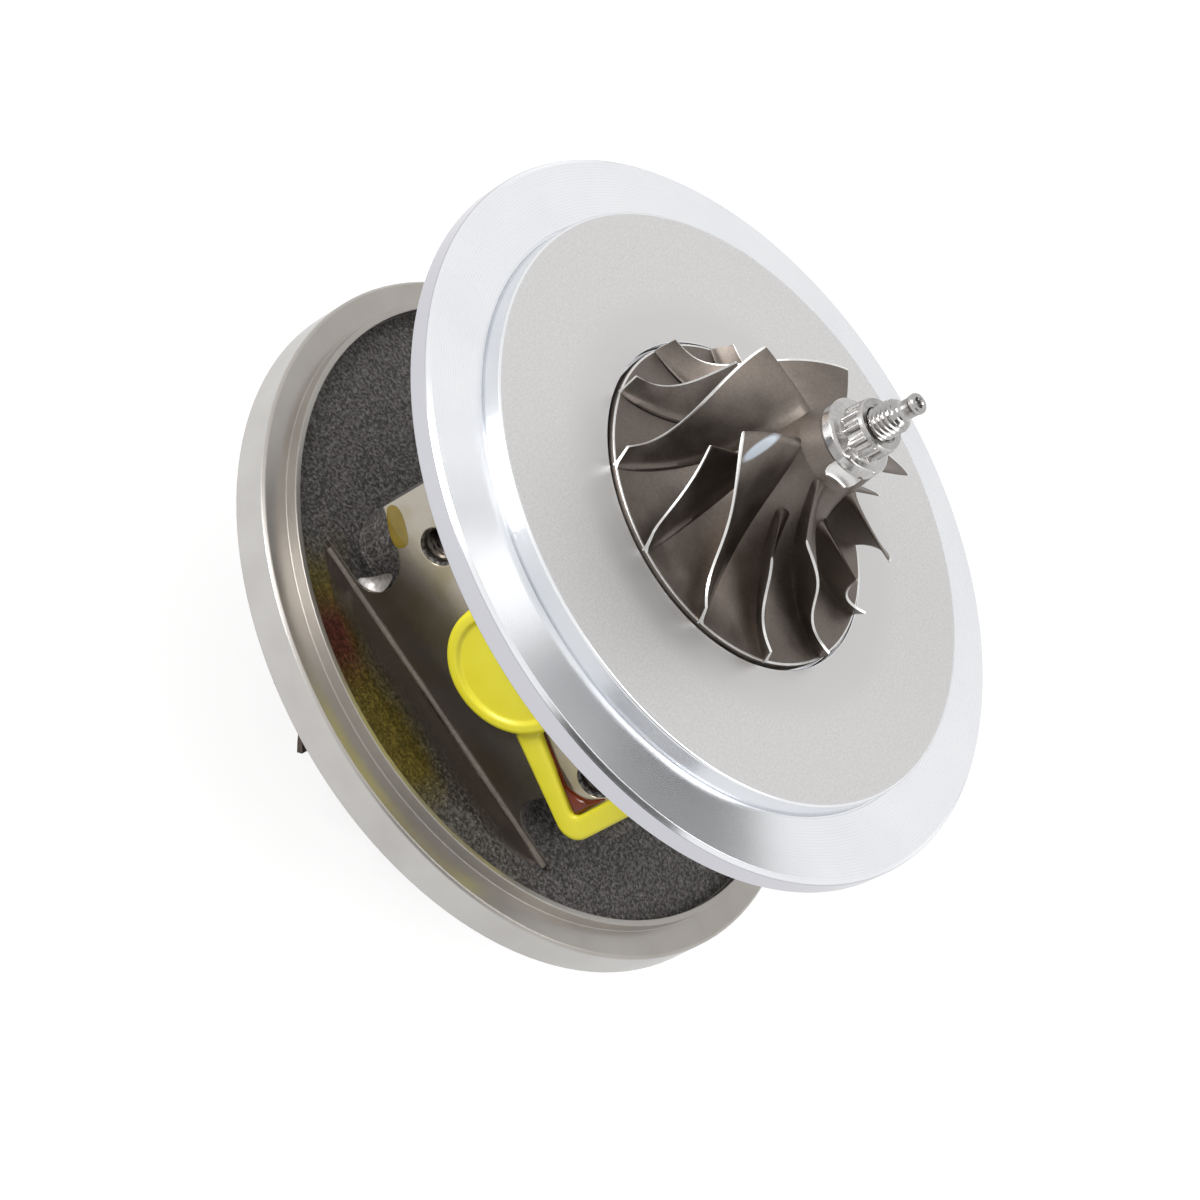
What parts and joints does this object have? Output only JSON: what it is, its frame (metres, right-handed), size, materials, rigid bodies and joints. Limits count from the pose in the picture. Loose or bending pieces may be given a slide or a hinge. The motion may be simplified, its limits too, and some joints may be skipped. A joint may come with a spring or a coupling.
{
  "type": "turbo cartridge",
  "caption": "Turbocharger core: cast bearing housing with a turbine flange and plugged oil drain, turned backplate, and a shaft with a bladed compressor wheel, lock nut and turbine wheel.",
  "frame": {"origin": "on the shaft's axis, in the backplate flange's joint face at the foot of the spigot", "axes": "+Z along the shaft towards the compressor nut, -Y out of the oil drain pad, +Y out of the oil inlet, X along the drain's bolt holes"},
  "size_m": [0.11, 0.11, 0.1179],
  "materials": {
    "cast_iron": "cast, with milled faces",
    "turned_aluminium": "turned bright",
    "black_rubber": "moulded",
    "plated_steel": "zinc plated",
    "bronze": "turned",
    "ground_steel": "ground",
    "sheet_steel": "pressed",
    "ring_iron": "lapped",
    "heat_alloy": "investment cast",
    "cast_aluminium": "cast satin",
    "yellow_plastic": "moulded"
  },
  "bodies": {
    "housing": {"centre_housing": "cast_iron", "backplate": "turned_aluminium", "backplate_o_ring": "black_rubber", "backplate_bolts": "plated_steel", "thrust_bearing": "bronze", "thrust_dowels": "ground_steel", "oil_deflector": "sheet_steel", "compressor_seal_ring": "ring_iron", "turbine_seal_ring": "ring_iron", "retaining_rings": "ground_steel", "heat_shield": "sheet_steel"},
    "rotor": {"rotor_shaft": "ground_steel", "turbine_wheel": "heat_alloy", "thrust_collar": "ground_steel", "flinger_spacer": "ground_steel", "compressor_wheel": "cast_aluminium", "compressor_nut": "plated_steel"},
    "upper_bearing": {"upper_journal_bearing": "bronze"},
    "lower_bearing": {"lower_journal_bearing": "bronze"},
    "cap": {"drain_cap": "yellow_plastic"}
  },
  "joints": [
    {"name": "rotor_spin", "type": "hinge", "parent": "housing", "child": "rotor", "pos_m": [0, 0, 0], "axis": [0, 0, 1], "continuous": true},
    {"name": "upper_bearing_spin", "type": "hinge", "parent": "housing", "child": "upper_bearing", "pos_m": [0, 0, -0.0235], "axis": [0, 0, 1], "continuous": true},
    {"name": "lower_bearing_spin", "type": "hinge", "parent": "housing", "child": "lower_bearing", "pos_m": [0, 0, -0.0365], "axis": [0, 0, 1], "continuous": true},
    {"name": "cap_pull", "type": "slide", "parent": "housing", "child": "cap", "axis": [0, -1, 0], "range_m": [0, 0.02]}
  ]
}
